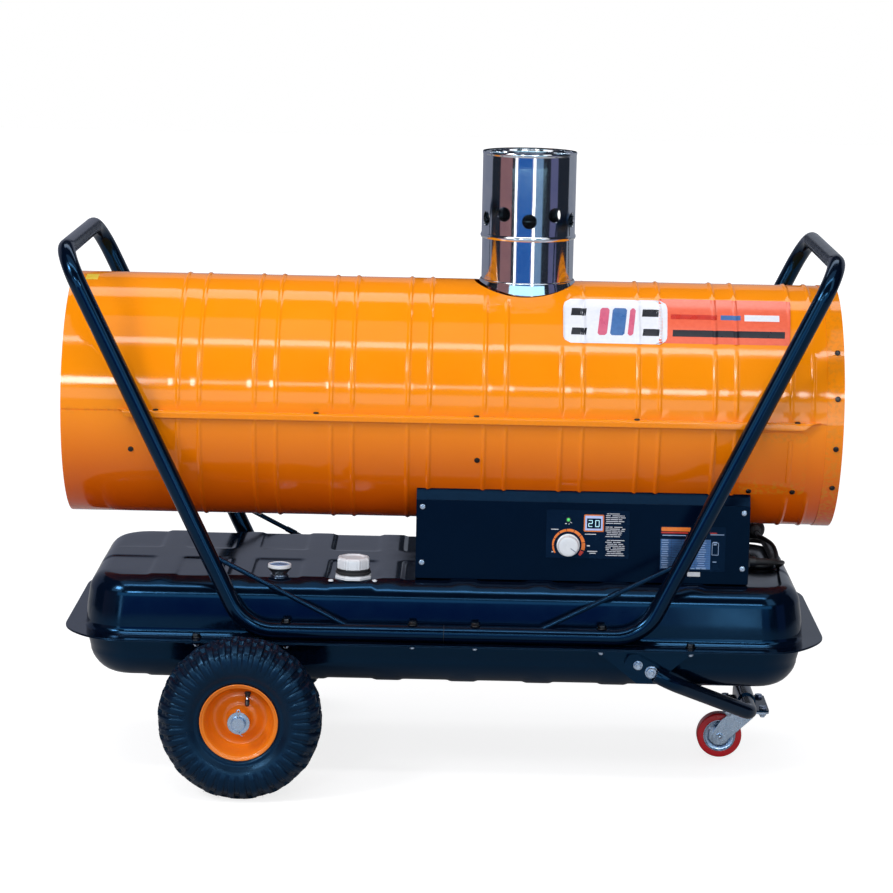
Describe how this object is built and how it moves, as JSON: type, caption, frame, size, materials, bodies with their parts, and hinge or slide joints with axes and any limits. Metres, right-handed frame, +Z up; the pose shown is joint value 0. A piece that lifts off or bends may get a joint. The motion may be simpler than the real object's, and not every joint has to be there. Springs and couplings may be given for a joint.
{
  "type": "indirect diesel heater",
  "caption": "Mobile indirect-fired diesel heater: a ribbed drum with a flue over a pressed fuel tank, carried in a bent tube frame with wheels and a swivel caster.",
  "frame": {"origin": "on the floor, under the middle of the heater's overall length and width", "axes": "+X along the drum from the hot-air outlet to the fan intake, +Y across it away from the control panel, +Z up"},
  "size_m": [1.25, 0.6942, 1.009],
  "materials": {
    "casing_paint": "smooth gloss paint over pressed sheet",
    "frame_paint": "gloss black powder coat",
    "panel_paint": "satin black paint",
    "stainless": "bright rolled stainless sheet",
    "heat_steel": "bare heat-resisting steel, slightly blued",
    "zinc": "bright zinc plate",
    "motor_cast": "die-cast housing",
    "fan_sheet": "stamped blades",
    "rim_paint": "gloss paint",
    "tyre_rubber": "moulded tread and lugged wall",
    "caster_tread": "red polyurethane tread",
    "panel_film": "printed panel film",
    "plate_foil": "satin foil plate, bare of text",
    "knob_plastic": "moulded pale knob",
    "dark_plastic": "moulded black plastic",
    "cap_plastic": "metallised plastic cap",
    "gasket_rubber": "soft black rubber",
    "cord_rubber": "flexible black sheath",
    "board_green": "circuit board with dark components",
    "float_foam": "closed-cell float on a wire arm",
    "mesh_steel": "fine perforated sheet",
    "copper_line": "drawn copper line"
  },
  "bodies": {
    "heater": {"upper_casing": "casing_paint", "lower_casing": "casing_paint", "outlet_ring": "casing_paint", "intake_ring": "casing_paint", "intake_guard": "frame_paint", "service_cover": "casing_paint", "sheet_screws": "zinc", "flue_collar": "stainless", "chimney_pipe": "stainless", "chimney_cup": "stainless", "heat_exchanger": "heat_steel", "combustion_chamber": "heat_steel", "burner_head": "motor_cast", "fan_motor": "motor_cast", "motor_bracket": "frame_paint", "fuel_pump": "motor_cast", "pedestal": "panel_paint", "control_face": "panel_paint", "control_panel": "panel_film", "rating_plate": "plate_foil", "thermostat_body": "dark_plastic", "ignition_transformer": "dark_plastic", "control_board": "board_green", "cord_gland": "dark_plastic", "power_cord": "cord_rubber", "cord_coil": "cord_rubber", "power_plug": "dark_plastic", "tank_upper": "frame_paint", "tank_lower": "frame_paint", "filler_neck": "zinc", "filler_strainer": "mesh_steel", "fuel_gauge": "dark_plastic", "drain_plug": "zinc", "fuel_line": "copper_line", "left_handle": "frame_paint", "right_handle": "frame_paint", "brace_rods": "frame_paint", "frame_bolts": "zinc", "wheel_brackets": "frame_paint", "leg_brackets": "frame_paint", "wheel_axle": "zinc", "axle_washers": "zinc", "caster_leg": "frame_paint", "caster_saddle": "frame_paint", "caster_plate": "zinc"},
    "near_wheel": {"near_tyre": "tyre_rubber", "near_rim": "rim_paint"},
    "far_wheel": {"far_tyre": "tyre_rubber", "far_rim": "rim_paint"},
    "caster_swivel": {"caster_fork": "zinc", "caster_axle": "zinc"},
    "caster_wheel": {"caster_hub": "zinc", "caster_tyre": "caster_tread"},
    "fan": {"fan_shaft": "zinc", "fan_impeller": "fan_sheet"},
    "thermostat_dial": {"thermostat_knob": "knob_plastic"},
    "cap_lift": {"cap_gasket": "gasket_rubber"},
    "cap_turn": {"fuel_cap": "cap_plastic"},
    "float": {"float_arm": "float_foam"}
  },
  "joints": [
    {"name": "near_wheel_spin", "type": "hinge", "parent": "heater", "child": "near_wheel", "pos_m": [-0.3215, -0.305, 0.13], "axis": [0, 1, 0], "continuous": true},
    {"name": "far_wheel_spin", "type": "hinge", "parent": "heater", "child": "far_wheel", "pos_m": [-0.3215, 0.305, 0.13], "axis": [0, 1, 0], "continuous": true},
    {"name": "caster_swivel_turn", "type": "hinge", "parent": "heater", "child": "caster_swivel", "pos_m": [0.502, 0, 0.081], "axis": [0, 0, 1], "continuous": true},
    {"name": "caster_wheel_spin", "type": "hinge", "parent": "caster_swivel", "child": "caster_wheel", "pos_m": [0.462, 0, 0.0375], "axis": [0, 1, 0], "continuous": true},
    {"name": "fan_spin", "type": "hinge", "parent": "heater", "child": "fan", "pos_m": [0.485, 0, 0.6], "axis": [1, 0, 0], "continuous": true},
    {"name": "dial_turn", "type": "hinge", "parent": "heater", "child": "thermostat_dial", "pos_m": [0.194, -0.175, 0.391], "axis": [0, 1, 0], "range_deg": [-120, 120]},
    {"name": "cap_raise", "type": "slide", "parent": "heater", "child": "cap_lift", "axis": [0, 0, 1], "range_m": [0, 0.04]},
    {"name": "cap_twist", "type": "hinge", "parent": "cap_lift", "child": "cap_turn", "pos_m": [-0.151, -0.16, 0.355], "axis": [0, 0, 1], "range_deg": [0, 90]},
    {"name": "float_swing", "type": "hinge", "parent": "heater", "child": "float", "pos_m": [-0.27, -0.16, 0.295], "axis": [0, 1, 0], "range_deg": [-55, 8]}
  ]
}
